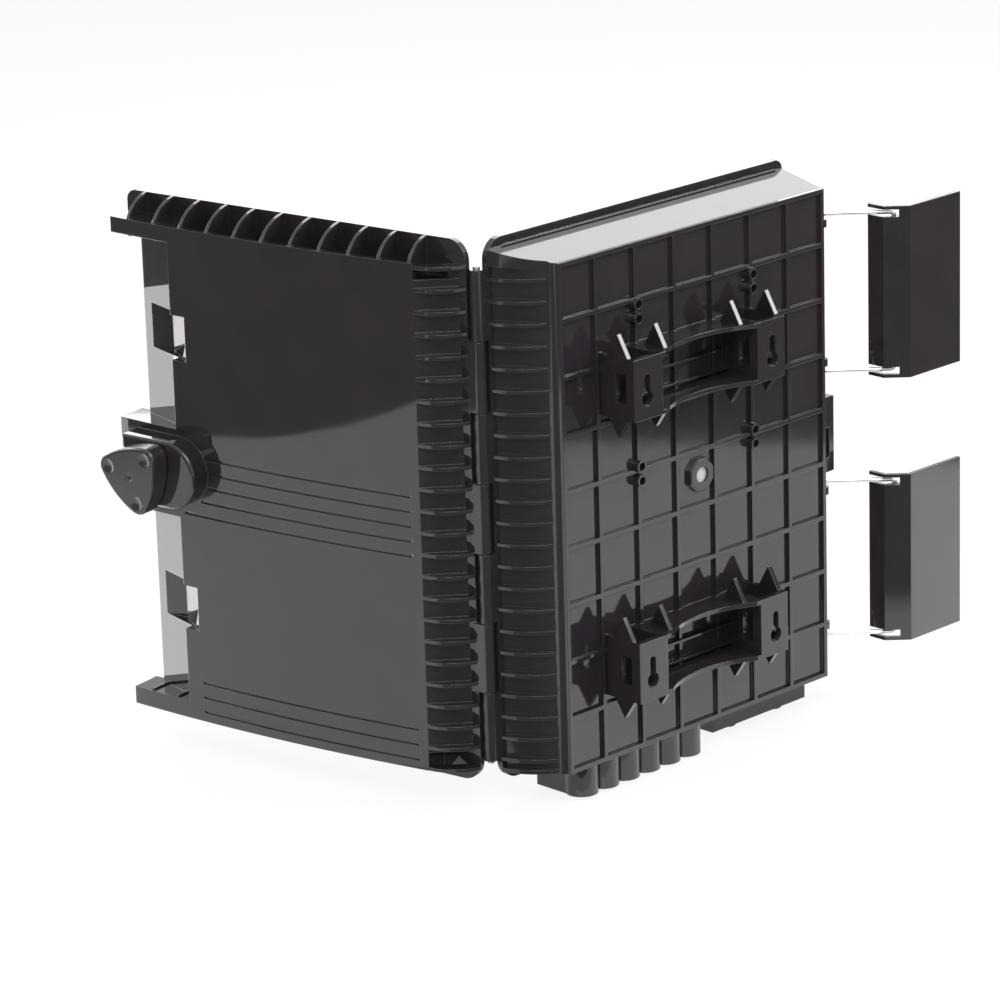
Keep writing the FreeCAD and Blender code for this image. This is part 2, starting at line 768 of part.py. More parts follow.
# Base: screw posts on the floor
post_at = bracket_screw_at + panel_screw_at + clamp_screw_at + strength_at
base = fuse([base] + [post(post_r, at, (post_top_y, floor_y + boss_root)) for at in post_at])
for at in post_at:
    base = base.cut(post(screw_r + screw_bite, at, (post_top_y, floor_y + post_floor)))
save("base_housing", base)
save("vent_disc", post(hub_hole_r - vent_fit, hub_at, (skin_y, skin_y + vent_thick)))
save("rim_seal", seal_band(seal_groove_wide / 2 - seal_clear,
                           (part_y + seal_groove_deep - seal_thick, part_y + seal_groove_deep)))
save("hinge_pin", rod(pin_r, *pin_ends))
save("entry_seals", Part.makeCompound([bushing(x, drop_y, drop_hole_r) for x in drop_x]))
save("trunk_seals", Part.makeCompound([bushing(x, trunk_hole_y, trunk_hole_r) for x in trunk_hole_x]))

# Cover: crowned face on the rim plate, end lips and walls
foot = (rim_x[1] - foot_inset, shoulder_y)
main = prism([foot, (face_edge_x[1], face_y(face_edge_x[1])), face_arc(face_edge_x[1], face_edge_x[0]),
              ledge[0], ledge[1], (ledge[1][0], shoulder_y)], main_z)
cover_plate = rounded(rim_x, rim_z, (shoulder_y, cover_y), rim_latch_r, rim_hinge_r)
for ends in ((main_z[0], lock_block_z[0]), (lock_block_z[1], main_z[1])):
    cover_plate = cover_plate.cut(box((rim_x[0], rim_x[0] + latch_recess), (shoulder_y, cover_y), ends))
wall_end_x = face_edge_x[0] + wall
root_y = shoulder_y + boss_root
end_wall = [(lip_end_x, root_y), (lip_end_x, face_y(lip_end_x)), face_arc(lip_end_x, wall_end_x),
            (wall_end_x, root_y)]
lip_back = face_arc(face_edge_x[1], lip_end_x, lip_deep)
lip_front = [(lip_end_x, face_y(lip_end_x)), face_arc(lip_end_x, face_edge_x[1]),
             (face_edge_x[1], face_y(face_edge_x[1], lip_deep)), lip_back]
solids = [main, cover_plate, prism(end_wall, lock_block_z)]
for ends in ((main_z[1], lip_z[1]), (lip_z[0], main_z[0])):
    solids += [prism(end_wall, ends), prism(lip_front, ends)]

# Cover: hood ribs above and below, fins along the hinge side
first_rib_x = rim_x[0] + hood_rib_inset
hood_ribs = int((face_edge_x[1] - first_rib_x) / hood_rib_pitch) + 1
for i in range(hood_ribs):
    x = first_rib_x + i * hood_rib_pitch
    for end, sign, bulge in ((1, 1, hood_bulge_head), (0, -1, hood_bulge_foot)):
        hood_front = (face_y(x) + boss_root, lip_z[end])
        hood_back = (cover_y - boss_root, rim_z[end])
        root = main_z[end] - sign
        curve = [(hood_back[0], root), (hood_front[0] + 1, root), hood_front,
                 bulged(hood_front, hood_back, -sign * bulge) + hood_back]
        solids.append(side_prism(curve, span(x, hood_rib_thick / 2)))
fin_root = (rim_x[1], shoulder_y)
fin_tip = (face_edge_x[1], face_edge_y)
cover_fin = [(foot[0] - wall, root_y), (rim_x[1], root_y), fin_root,
             bulged(fin_tip, fin_root, cover_fin_bulge) + fin_tip, (fin_tip[0] - wall, fin_tip[1] + wall)]
cover_fin_top = rim_z[1] - cover_fin_head
cover_fins = int((cover_fin_top - rim_z[0] - cover_fin_foot) / fin_pitch) + 1
solids += [prism(cover_fin, span(cover_fin_top - i * fin_pitch, fin_thick / 2)) for i in range(cover_fins)]

# Cover: lock boss, then the hollows
boss_z = span(lock_z, boss_r)
boss = front_prism([(boss_start_x, boss_z[0]), (boss_round_x, boss_z[0]),
                    (boss_round_x + boss_r, lock_z, boss_round_x, boss_z[1]),
                    (boss_start_x, boss_z[1])], (boss_y, face_edge_y + ledge_drop))
boss = boss.makeFillet(boss_edge, [e for e in boss.Edges if abs(e.BoundBox.YMax - boss_y) < 1e-6])
solids.append(boss)
cover = fuse(solids)
hollow_x = (ledge[0][0] + wall, face_edge_x[1] - wall)
rim_end_x = (mouth_x[0] + mouth_clear, seal_line_x[1] - seal_groove_wide - wall + mouth_clear / 2)
hollow = prism([(rim_end_x[1], cover_y + 1), (rim_end_x[1], shoulder_y - foot_inset),
                (hollow_x[1], face_y(hollow_x[1], wall)), face_arc(hollow_x[1], hollow_x[0], wall),
                (hollow_x[0], ledge[0][1] + wall / 2), (rim_end_x[0], root_y), (rim_end_x[0], cover_y + 1)],
               (main_z[0] + wall, main_z[1] - wall))
lock_hollow = box((rim_end_x[0], hollow_x[0]), (face_edge_y + wall, cover_y + 1),
                  (lock_block_z[0] + boss_wall, lock_block_z[1] - boss_wall))
boss_in = span(lock_z, boss_r - boss_wall)
boss_hollow = front_prism([(boss_start_x + boss_wall, boss_in[0]), (boss_round_x, boss_in[0]),
                           (boss_round_x + boss_r - boss_wall, lock_z, boss_round_x, boss_in[1]),
                           (boss_start_x + boss_wall, boss_in[1])], (boss_y + boss_wall, face_edge_y + wall))
cover = cover.cut(hollow).cut(lock_hollow).cut(boss_hollow)

# Cover: spindle sleeve, seal tongue, knuckles
tongue_end = part_y + seal_groove_deep - seal_thick - tongue_clear
sleeve = along_lock(sleeve_r, (boss_y + 1, sleeve_end_y))
tongue = seal_band(tongue_wide / 2, (cover_y - boss_root, tongue_end))
cover = fuse([cover, sleeve, tongue] + [knuckle(z, -1) for z in eyes[1::2]])
cover = cover.cut(along_lock(spindle_r + spindle_fit, (boss_y - 1, cover_y))).cut(pin_bore)

# Cover: hook pockets, each a level floor and a slope up to the face, with one wall behind them; grooves
ledge_lean = (ledge[0][1] - ledge[1][1]) / (ledge[0][0] - ledge[1][0])
floor_x = (ledge[1][0] + pocket_out, ledge[1][0] + pocket_out + pocket_long)
slope_x = (floor_x[1], face_edge_x[0] + pocket_in)
slope_y = (ledge[1][1] + pocket_out * ledge_lean, face_y(slope_x[1]))
slope_rise = slope_y[0] - slope_y[1]
slope_back = wall * math.hypot(slope_x[1] - slope_x[0], slope_rise) / slope_rise
back_x = (floor_x[0] - wall, slope_x[1] + slope_back, face_edge_x[0] + boss_root)
block = [(back_x[0], slope_y[0] + wall), (slope_x[0] + boss_root, slope_y[0] + wall),
         (back_x[1], face_y(back_x[1]) + boss_root), (back_x[2], face_y(back_x[2]) + boss_root),
         (back_x[2], ledge[0][1] + boss_root), (back_x[0], slope_y[0] - wall * ledge_lean + boss_root)]
pocket = [(floor_x[0], boss_y), (floor_x[0], slope_y[0]), (slope_x[0], slope_y[0]), (slope_x[1], slope_y[1]),
          (slope_x[1], boss_y)]
cover = fuse([cover] + [prism(block, span(mid, pocket_half + wall)) for mid in latch_mid_z])
for mid in latch_mid_z:
    cover = cover.cut(prism(pocket, span(mid, pocket_half)))
groove_end = face_edge_x[1] - groove_inset
lock_groove_mid = lock_z - lock_groove_drop
for i in range(lock_grooves):
    z = lock_groove_mid + (i - (lock_grooves - 1) / 2) * lock_groove_pitch
    clear = max(abs(z - lock_z) - groove_wide, 0)
    start = boss_round_x + math.sqrt(max(boss_r ** 2 - clear ** 2, 0)) + groove_gap
    cover = cover.cut(face_groove((start, groove_end), z))
for i in range(foot_grooves):
    z = rim_z[0] + foot_groove_up - i * foot_groove_pitch
    cover = cover.cut(face_groove((face_edge_x[0] + foot_groove_inset, groove_end), z))
save("cover", swing(cover))

# Lock: three-lobed knob, dimpled on each lobe and in the middle, with spindle, ring, clip, cam and screw
knob = front_prism(knob_outline(), (knob_front, knob_front + knob_thick))
knob = knob.makeFillet(knob_round, [e for e in knob.Edges if abs(e.BoundBox.YMax - knob_front) < 1e-6])
dimples = [(around((lock_x, lock_z), knob_lobe_at, angle), knob_dimple_r) for angle in knob_angles]
dimples.append(((lock_x, lock_z), knob_eye_r))
for (x, z), radius in dimples:
    ball_r = (radius ** 2 + knob_dimple_deep ** 2) / (2 * knob_dimple_deep)
    knob = knob.cut(Part.makeSphere(ball_r, V(x, knob_front + knob_dimple_deep - ball_r, z)))
spindle = fuse([along_lock(spindle_r, (boss_y - knob_gap - 1, cam_y)),
                along_lock(nose_r, (cam_y - 1, cam_back))])
for groove in (ring_y, clip_y):
    spindle = spindle.cut(along_lock(spindle_r, groove).cut(along_lock(ring_root_r, groove)))
spindle = spindle.cut(along_lock(screw_r + screw_bite, (cam_back - cam_screw_long - 1, cam_back)))
save("lock_knob", swing(fuse([knob, spindle])))
ring = along_lock(spindle_r - ring_proud, (ring_y[0] + side_clear, ring_y[1] - side_clear))
save("spindle_ring", swing(ring.cut(along_lock(ring_root_r + ring_fit, ring_y))))
clip = along_lock(clip_r, (clip_y[0] + side_clear, clip_y[1] - side_clear))
clip = clip.cut(along_lock(ring_root_r + ring_fit, clip_y))
save("lock_clip", swing(clip.cut(box(span(lock_x, ring_root_r), clip_y, (lock_z, lock_z + clip_r)))))
cam_x = span(lock_x, cam_wide / 2)
cam = front_prism([(cam_x[0], lock_z), (lock_x, lock_z + cam_wide / 2, cam_x[1], lock_z),
                   (cam_x[1], lock_z - cam_long), (cam_x[0], lock_z - cam_long)], (cam_y, cam_back))
save("lock_cam", swing(cam.cut(along_lock(nose_r + ring_fit, (cam_y - 1, cam_back + 1)))))
save("cam_screw", swing(screw((lock_x, cam_back + seal_clear, lock_z), (0, -1, 0), cam_screw_long)))

# Latches: wire bail hung in the ears of the base, lever hung on the bail, both thrown back
bail_reach = math.hypot(bail_closed_at[0] - bail_pivot[0], bail_closed_at[1] - bail_pivot[1])
lever_at = around(bail_pivot, bail_reach, bail_rest_angle)
stub = ear_gap + ear_long + bail_end
mitre = lever_wall * math.tan(math.pi / 8)
plate_end_x = lever_plate_corner[0] + lever_plate_long
under_y = lever_plate_corner[1] + lever_wall
leg_in_x = lever_leg_corner[0] + lever_wall
bend_in = ((lever_plate_corner[0] + mitre, under_y), (leg_in_x, lever_leg_corner[1] + mitre))
lever_section = [lever_leg_end, lever_leg_corner, lever_plate_corner, (plate_end_x, lever_plate_corner[1]),
                 (plate_end_x, under_y), bend_in[0], bend_in[1], (leg_in_x, lever_leg_end[1])]
lug_section = [bend_in[1], bend_in[0], (bend_in[0][0] + lever_lug_high, under_y), *lever_lug_top,
               (leg_in_x, bend_in[1][1] + lever_lug_high)]
for name, mid in zip(("upper", "lower"), latch_mid_z):
    low, high = span(mid, bail_half)
    bail = bent_wire([(*bail_pivot, high - stub), (*bail_pivot, high), (*lever_at, high), (*lever_at, low),
                      (*bail_pivot, low), (*bail_pivot, low + stub)], bail_bend, bail_wire_r)
    save(name + "_bail", bail)
    pieces = [prism(lever_section, span(mid, bail_half + lever_over))]
    for side in (-1, 1):
        near = mid + side * (bail_half - ear_gap)
        pieces.append(prism(lug_section, sorted((near, near - side * lever_lug))))
    hook_x = (hook_at, hook_at + hook_thick)
    hook_y = (under_y - boss_root, under_y + hook_deep)
    pieces.append(box(hook_x, hook_y, span(mid, pocket_half - hook_clear)))
    lever = fuse(pieces)
    for level in (low, high):
        lever = lever.cut(box((lever_leg_end[0] - 1, lever_window_x), (lever_window_y, lever_leg_end[1] + 1),
                              span(level, lever_window_half)))
    lever = lever.cut(rod(bail_wire_r + bail_fit, (0, 0, low), (0, 0, high)))
    lever.rotate(V(0, 0, 0), UP, 180)
    lever.translate(V(*lever_at, 0))
    save(name + "_lever", lever)

# Splice tray: hinge bracket with its screws and pins
ear_x = [(tray_x[0] - tray_side_clear - sheet, tray_x[0] - tray_side_clear),
         (tray_x[1] + tray_side_clear, tray_x[1] + tray_side_clear + sheet)]
foot_z = (tray_axis_z + bracket_foot[0], tray_axis_z + bracket_foot[1])
mount = [box((ear_x[0][0], ear_x[1][1]), plate_y, foot_z)]
for x in ear_x:
    mount.append(box(x, (tray_axis_y, plate_y[1]), span(tray_axis_z, ear_round)))
    mount.append(rod(ear_round, (x[0], *tray_axis), (x[1], *tray_axis)))
mount = fuse(mount)
for x in ear_x:
    mount = mount.cut(rod(tray_pin_r + tray_pin_fit, (x[0], *tray_axis), (x[1], *tray_axis)))
save("tray_bracket", screw_holes(mount, bracket_screw_at, plate_y))
save("bracket_screws", screws(bracket_screw_at, plate_y[0], screw_long))
pin_in = sheet + tray_side_clear + tray_lug_wide + tray_pin_over
pins = [rod(tray_pin_r, (start, *tray_axis), (start + pin_in + tray_pin_over, *tray_axis))
        for start in (ear_x[0][0] - tray_pin_over, ear_x[1][1] - pin_in)]
save("tray_pins", Part.makeCompound(pins))

# Splice tray: walled tray with two reels and fibre gates, combs, clear lid
inner_x = (tray_x[0] + tray_wall, tray_x[1] - tray_wall)
inner_z = (tray_z[0] + tray_wall, tray_z[1] - tray_wall)
inner_y = (tray_y[0], tray_y[1] - tray_wall)
inner_corner = tray_corner - tray_wall
tray_space = rounded(inner_x, inner_z, inner_y, inner_corner, inner_corner)
lugs = []
for x in ((tray_x[0], tray_x[0] + tray_lug_wide), (tray_x[1] - tray_lug_wide, tray_x[1])):
    lugs.append(rod(tray_lug_r, (x[0], *tray_axis), (x[1], *tray_axis)))
    lugs.append(box(x, span(tray_axis_y, tray_lug_r), (tray_axis_z, tray_z[0] + tray_corner)))
tray = fuse([rounded(tray_x, tray_z, tray_y, tray_corner, tray_corner)] + lugs).cut(tray_space)
lid_y = (tray_y[0], tray_y[0] + lid_thick)
inside_y = (lid_y[1] + lid_clear, inner_y[1] + boss_root)
reels = []
for x in (inner_x[0] + reel_clear + reel_r, inner_x[1] - reel_clear - reel_r):
    reel_ends = [(x, y, tray_mid[1]) for y in inside_y]
    reels.append(tube(reel_r, reel_r - tray_wall, *reel_ends))
tray = fuse([tray] + reels)
for side in (-1, 1):
    gate_x = span(tray_mid[0] + side * gate_off, gate_half)
    tray = tray.cut(box(gate_x, (tray_y[0], inner_y[1]), (tray_z[0], inner_z[0] + tray_wall)))
tray = tray.cut(rod(tray_pin_r + tray_pin_fit, (tray_x[0], *tray_axis), (tray_x[1], *tray_axis)))
save("splice_tray", tray)
combs = []
comb_x = span(tray_mid[0], comb_half)
for side in (-1, 1):
    z = tray_mid[1] + side * comb_off
    comb = box(comb_x, (inside_y[0], inner_y[1]), span(z, comb_slots * comb_pitch / 2))
    for i in range(comb_slots):
        slot_z = z + (i - (comb_slots - 1) / 2) * comb_pitch
        comb = comb.cut(box(comb_x, (inside_y[0], inner_y[1] - comb_floor), span(slot_z, comb_gap / 2)))
    combs.append(comb)
save("splice_combs", Part.makeCompound(combs))
lid_x = (inner_x[0] + lid_clear, inner_x[1] - lid_clear)
lid_z = (inner_z[0] + lid_clear, inner_z[1] - lid_clear)
lid = rounded(lid_x, lid_z, lid_y, inner_corner, inner_corner)
save("tray_lid", lid.cut(post(lid_pull_r, (tray_mid[0], inner_z[1]), lid_y)))

# Patching row: folded panel with a row of adapters and their caps
upright_z = span(panel_z, sheet / 2)
panel = box(panel_x, plate_y, (upright_z[0], panel_z + panel_foot))
panel = panel.fuse(box(panel_x, (panel_front_y, plate_y[1]), upright_z))
half_w, half_d, half_l = (s / 2 for s in adapter_size)
adapters, caps = [], []
for i in range(adapters_count):
    x = tray_mid[0] + (i - (adapters_count - 1) / 2) * adapter_pitch
    window_y = span(adapter_y, half_d + adapter_clear)
    panel = panel.cut(box(span(x, half_w + adapter_clear), window_y, upright_z))
    body = box(span(x, half_w), span(adapter_y, half_d), span(panel_z, half_l))
    collar_z = upright_z[0] - adapter_seat
    collar = box(span(x, half_w + adapter_collar), span(adapter_y, half_d + adapter_collar),
                 (collar_z - adapter_collar_thick, collar_z))
    body = body.fuse(collar)
    plug = (span(x, plug_hole[0] / 2), span(adapter_y, plug_hole[1] / 2))
    low, high = span(panel_z, half_l)
    body = body.cut(box(*plug, (low, low + plug_hole[2]))).cut(box(*plug, (high - plug_hole[2], high)))
    adapters.append(body)
    stem = box(span(x, plug_hole[0] / 2 - cap_clear), span(adapter_y, plug_hole[1] / 2 - cap_clear),
               (low - cap_seat, low + plug_hole[2] - cap_short))
    head = box(span(x, half_w), span(adapter_y, half_d), (low - cap_seat - cap_long, low - cap_seat))
    caps.append(head.fuse(stem))
save("adapter_panel", screw_holes(panel, panel_screw_at, plate_y))
save("adapters", Part.makeCompound(adapters))
save("dust_caps", Part.makeCompound(caps))
save("panel_screws", screws(panel_screw_at, plate_y[0], screw_long))

# Cable fixing: saddle clamps, strength member clamps, fibre guides
clamps = []
for x, z in clamp_at:
    clamp_z = span(z, clamp_wide / 2)
    arch_x = span(x, clamp_r + sheet)
    arch = tube(clamp_r + sheet, clamp_r, (x, plate_y[0], clamp_z[0]), (x, plate_y[0], clamp_z[1]))
    arch = arch.cut(box(arch_x, (plate_y[0], plate_y[0] + clamp_r + sheet), clamp_z))
    feet = [box(sorted((x + s * clamp_r, x + s * (clamp_r + clamp_foot))), plate_y, clamp_z) for s in (-1, 1)]
    clamps.append(fuse([arch] + feet))
save("cable_clamps", screw_holes(Part.makeCompound(clamps), clamp_screw_at, plate_y))
save("clamp_screws", screws(clamp_screw_at, plate_y[0], screw_long))
block_y = (post_top_y - strength_size[1], post_top_y)
blocks = []
for x, z in strength_at:
    block = box(span(x, strength_size[0] / 2), block_y, span(z, strength_size[2] / 2))
    hole = (x + strength_hole_off, post_top_y - strength_hole_up)
    low, high = span(z, strength_size[2])
    blocks.append(block.cut(rod(strength_hole_r, (*hole, low), (*hole, high))))
save("strength_clamps", screw_holes(Part.makeCompound(blocks), strength_at, block_y))
save("strength_screws", screws(strength_at, block_y[0], strength_screw_long))
guides = []
for x in guide_x:
    for z in guide_z:
        y = floor_y - guide_r
        guide_ends = span(z, guide_long / 2)
        clip = tube(guide_r, guide_r - guide_wall, (x, y, guide_ends[0]), (x, y, guide_ends[1]))
        clip = clip.cut(box(span(x, guide_gap / 2), (y - guide_r, y), guide_ends))
        guides.append(clip.fuse(box(span(x, guide_foot / 2), (floor_y - guide_wall, floor_y), guide_ends)))
save("fibre_guides", Part.makeCompound(guides))
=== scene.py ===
import math
from functools import partial

import bpy
from mathutils import Matrix, Vector


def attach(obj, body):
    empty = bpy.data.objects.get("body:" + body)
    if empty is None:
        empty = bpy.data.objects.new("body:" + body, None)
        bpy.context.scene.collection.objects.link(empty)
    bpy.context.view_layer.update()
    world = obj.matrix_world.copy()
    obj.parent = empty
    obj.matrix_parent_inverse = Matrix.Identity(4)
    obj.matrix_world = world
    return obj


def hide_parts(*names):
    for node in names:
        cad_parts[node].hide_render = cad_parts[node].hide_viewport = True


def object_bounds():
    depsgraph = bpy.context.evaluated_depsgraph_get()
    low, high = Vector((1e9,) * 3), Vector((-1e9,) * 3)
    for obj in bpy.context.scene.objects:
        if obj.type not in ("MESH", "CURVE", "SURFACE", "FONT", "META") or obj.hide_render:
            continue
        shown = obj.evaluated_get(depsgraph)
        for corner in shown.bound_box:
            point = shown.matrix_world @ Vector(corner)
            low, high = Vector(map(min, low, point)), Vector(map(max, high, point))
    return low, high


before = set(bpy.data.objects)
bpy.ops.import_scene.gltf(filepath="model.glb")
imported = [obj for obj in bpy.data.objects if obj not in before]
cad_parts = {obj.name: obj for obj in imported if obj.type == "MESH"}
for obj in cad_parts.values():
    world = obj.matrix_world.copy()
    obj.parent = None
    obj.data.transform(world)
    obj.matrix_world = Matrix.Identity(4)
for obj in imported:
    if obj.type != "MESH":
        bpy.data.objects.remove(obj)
cad_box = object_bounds()
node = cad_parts

# Base housing: one deep moulding of black glossy ABS with ribbed back, finned hinge side and wall brackets.
# It comes from a polished steel mould, so the skin is smooth with a faint orange peel and soft edges.
black_plastic = (0.0175, 0.0142, 0.0176)
plastic_ior = 1.57
mould_edge = 0.0006
noise_span = (0.3, 0.7)


def finish_on(names, material):
    """One material on whole nodes of the frame."""
    for name in names:
        mesh = node[name].data
        mesh.materials.clear()
        mesh.materials.append(material)


def new_finish(name):
    material = bpy.data.materials.new(name)
    material.use_nodes = True
    shader = material.node_tree.nodes["Principled BSDF"]
    return material, material.node_tree, shader


def mottle(tree, scale, detail, low, high, socket):
    """Noise in the piece's own space, spread between two values and led to one socket."""
    place = tree.nodes.new("ShaderNodeTexCoord")
    noise = tree.nodes.new("ShaderNodeTexNoise")
    noise.inputs["Scale"].default_value = scale
    noise.inputs["Detail"].default_value = detail
    spread = tree.nodes.new("ShaderNodeMapRange")
    spread.inputs["From Min"].default_value = noise_span[0]
    spread.inputs["From Max"].default_value = noise_span[1]
    spread.inputs["To Min"].default_value = low
    spread.inputs["To Max"].default_value = high
    tree.links.new(place.outputs["Object"], noise.inputs["Vector"])
    tree.links.new(noise.outputs["Fac"], spread.inputs["Value"])
    tree.links.new(spread.outputs["Result"], socket)


def tint(tree, shader, scale, dark, pale):
    """Two close shades of one colour, mixed by noise."""
    mix = tree.nodes.new("ShaderNodeMix")
    mix.data_type = "RGBA"
    mix.inputs["A"].default_value = (*dark, 1)
    mix.inputs["B"].default_value = (*pale, 1)
    mottle(tree, scale, 4, 0, 1, mix.inputs["Factor"])
    tree.links.new(mix.outputs["Result"], shader.inputs["Base Color"])


def skin(tree, shader, edge, scales):
    """Softened moulded edges, and over them bumps given as scale and height pairs."""
    soft = tree.nodes.new("ShaderNodeBevel")
    soft.samples = 4
    soft.inputs["Radius"].default_value = edge
    normal = soft.outputs["Normal"]
    place = tree.nodes.new("ShaderNodeTexCoord")
    for scale, height in scales:
        noise = tree.nodes.new("ShaderNodeTexNoise")
        noise.inputs["Scale"].default_value = scale
        noise.inputs["Detail"].default_value = 2
        bump = tree.nodes.new("ShaderNodeBump")
        bump.inputs["Distance"].default_value = height
        tree.links.new(place.outputs["Object"], noise.inputs["Vector"])
        tree.links.new(noise.outputs["Fac"], bump.inputs["Height"])
        tree.links.new(normal, bump.inputs["Normal"])
        normal = bump.outputs["Normal"]
    tree.links.new(normal, shader.inputs["Normal"])


def moulded(name, colour, roughness, edge, peel):
    """Injection moulded plastic in one colour."""
    material, tree, shader = new_finish(name)
    tint(tree, shader, 45, tuple(c * 0.9 for c in colour), tuple(c * 1.12 for c in colour))
    mottle(tree, 70, 5, roughness * 0.85, roughness * 1.2, shader.inputs["Roughness"])
    shader.inputs["IOR"].default_value = plastic_ior
    skin(tree, shader, edge, peel)
    return material


housing_skin = moulded("housing_skin", black_plastic, 0.08, mould_edge, ((28, 0.00005), (900, 0.000002)))
finish_on(["base_housing"], housing_skin)

# Guard flange: flat lug on the latch side behind the lock, moulded in one with the housing.
# A slot through it takes a wire seal.
flange_x = (-0.1355, -0.1305, -0.127, -0.1235)
flange_z = (-0.009, 0.0, 0.018, 0.037)
flange_y = -0.028
flange_thick = 0.006
flange_edge = 0.0008
cells_round_slot = (0, 1, 2, 4, 6, 8, 9, 10)


def placed(name, data):
    """New object that holds the data, linked to the scene."""
    obj = bpy.data.objects.new(name, data)
    bpy.context.scene.collection.objects.link(obj)
    return obj


flange_mesh = bpy.data.meshes.new("guard_flange")
flange_mesh.from_pydata([(x, flange_y, z) for z in flange_z for x in flange_x], [],
                        [(i, i + 1, i + 5, i + 4) for i in cells_round_slot])
flange_mesh.materials.append(housing_skin)
flange = placed("guard_flange", flange_mesh)
thickening = flange.modifiers.new("thickening", "SOLIDIFY")
thickening.thickness = flange_thick
thickening.offset = 1
rounding = flange.modifiers.new("rounding", "BEVEL")
rounding.width = flange_edge
rounding.segments = 3
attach(flange, "base")

# Vent disc: pale porous membrane pressed into the eight-sided hub on the back.
# It is matt and faintly grained.
membrane, tree, shader = new_finish("vent_membrane")
tint(tree, shader, 900, (0.36, 0.36, 0.35), (0.46, 0.46, 0.45))
mottle(tree, 1500, 3, 0.75, 0.95, shader.inputs["Roughness"])
skin(tree, shader, 0.0001, ((2500, 0.00003),))
finish_on(["vent_disc"], membrane)

# Rim seal and cable bushings: soft black rubber, pressed into the rim groove and the entry holes.
# The surface is matt with a dusty bloom.
rubber, tree, shader = new_finish("black_rubber")
tint(tree, shader, 120, (0.022, 0.022, 0.022), (0.036, 0.036, 0.035))
mottle(tree, 300, 4, 0.62, 0.8, shader.inputs["Roughness"])
skin(tree, shader, 0.0003, ((1500, 0.00003),))
finish_on(["rim_seal", "entry_seals", "trunk_seals"], rubber)

# Hinge pin: drawn steel rod pushed through the knuckles of base and cover.
# Fine lines run along it from the drawing die.
pin_lines = (3000, 3000, 40)


def drawn_steel(name, closeness):
    """Bright steel with drawing lines, as close on each axis as its scale says."""
    material, tree, shader = new_finish(name)
    shader.inputs["Metallic"].default_value = 1
    tint(tree, shader, 160, (0.62, 0.62, 0.63), (0.78, 0.78, 0.79))
    place = tree.nodes.new("ShaderNodeTexCoord")
    stretch = tree.nodes.new("ShaderNodeMapping")
    stretch.inputs["Scale"].default_value = closeness
    lines = tree.nodes.new("ShaderNodeTexNoise")
    lines.inputs["Scale"].default_value = 1
    lines.inputs["Detail"].default_value = 3
    spread = tree.nodes.new("ShaderNodeMapRange")
    spread.inputs["To Min"].default_value = 0.12
    spread.inputs["To Max"].default_value = 0.34
    bump = tree.nodes.new("ShaderNodeBump")
    bump.inputs["Distance"].default_value = 0.000015
    tree.links.new(place.outputs["Object"], stretch.inputs["Vector"])
    tree.links.new(stretch.outputs["Vector"], lines.inputs["Vector"])
    tree.links.new(lines.outputs["Fac"], spread.inputs["Value"])
    tree.links.new(spread.outputs["Result"], shader.inputs["Roughness"])
    tree.links.new(lines.outputs["Fac"], bump.inputs["Height"])
    tree.links.new(bump.outputs["Normal"], shader.inputs["Normal"])
    return material


finish_on(["hinge_pin"], drawn_steel("pin_steel", pin_lines))

# Cover: shallow moulding of the same black plastic, hung on the hinge pin, with a polished crowned face.
# The frame's mesh is coarse between the face's grooves, so a tree of nodes gives the crown its true normals:
# a corner is on the crown if it and the middle of its face lie near the crown's radius.
crown_axis = (-0.988385, -0.376258, 0)
crown_radius = 1.1689
corner_slack = 0.00005
middle_slack = 0.0016
least_match = 0.6
cover_skin = moulded("cover_skin", black_plastic, 0.035, mould_edge, ((22, 0.00003), (900, 0.0000005)))
finish_on(["cover"], cover_skin)


def new_tree(name, inputs, result):
    """Geometry tree with named inputs and one result, and the sockets that its inputs come from."""
    tree = bpy.data.node_groups.new(name, "GeometryNodeTree")
    for label, kind in inputs:
        tree.interface.new_socket(label, in_out="INPUT", socket_type="NodeSocket" + kind)
    tree.interface.new_socket(result, in_out="OUTPUT", socket_type="NodeSocketGeometry")
    return tree, tree.nodes.new("NodeGroupInput").outputs


def add_step(tree, kind, sockets, output=0, **settings):
    """New node in a tree; each socket takes a constant, an output or a list of outputs."""
    made = tree.nodes.new(kind)
    for key, value in settings.items():
        setattr(made, key, value)
    for key, value in sockets.items():
        if isinstance(value, (bpy.types.NodeSocket, list)):
            for source in value if isinstance(value, list) else [value]:
                tree.links.new(source, made.inputs[key])
        else:
            made.inputs[key].default_value = value
    return made.outputs[output]


def end_tree(tree, geometry, finish, result):
    whole = add_step(tree, "GeometryNodeRealizeInstances", {"Geometry": geometry})
    coated = add_step(tree, "GeometryNodeSetMaterial", {"Geometry": whole, "Material": finish})
    tree.links.new(coated, tree.nodes.new("NodeGroupOutput").inputs[result])


def run_tree(obj, tree, values):
    """A tree as a modifier of an object, with each named input set by its socket's identifier."""
    modifier = obj.modifiers.new(tree.name, "NODES")
    modifier.node_group = tree
    for item in tree.interface.items_tree:
        if item.name in values:
            modifier[item.identifier] = values[item.name]


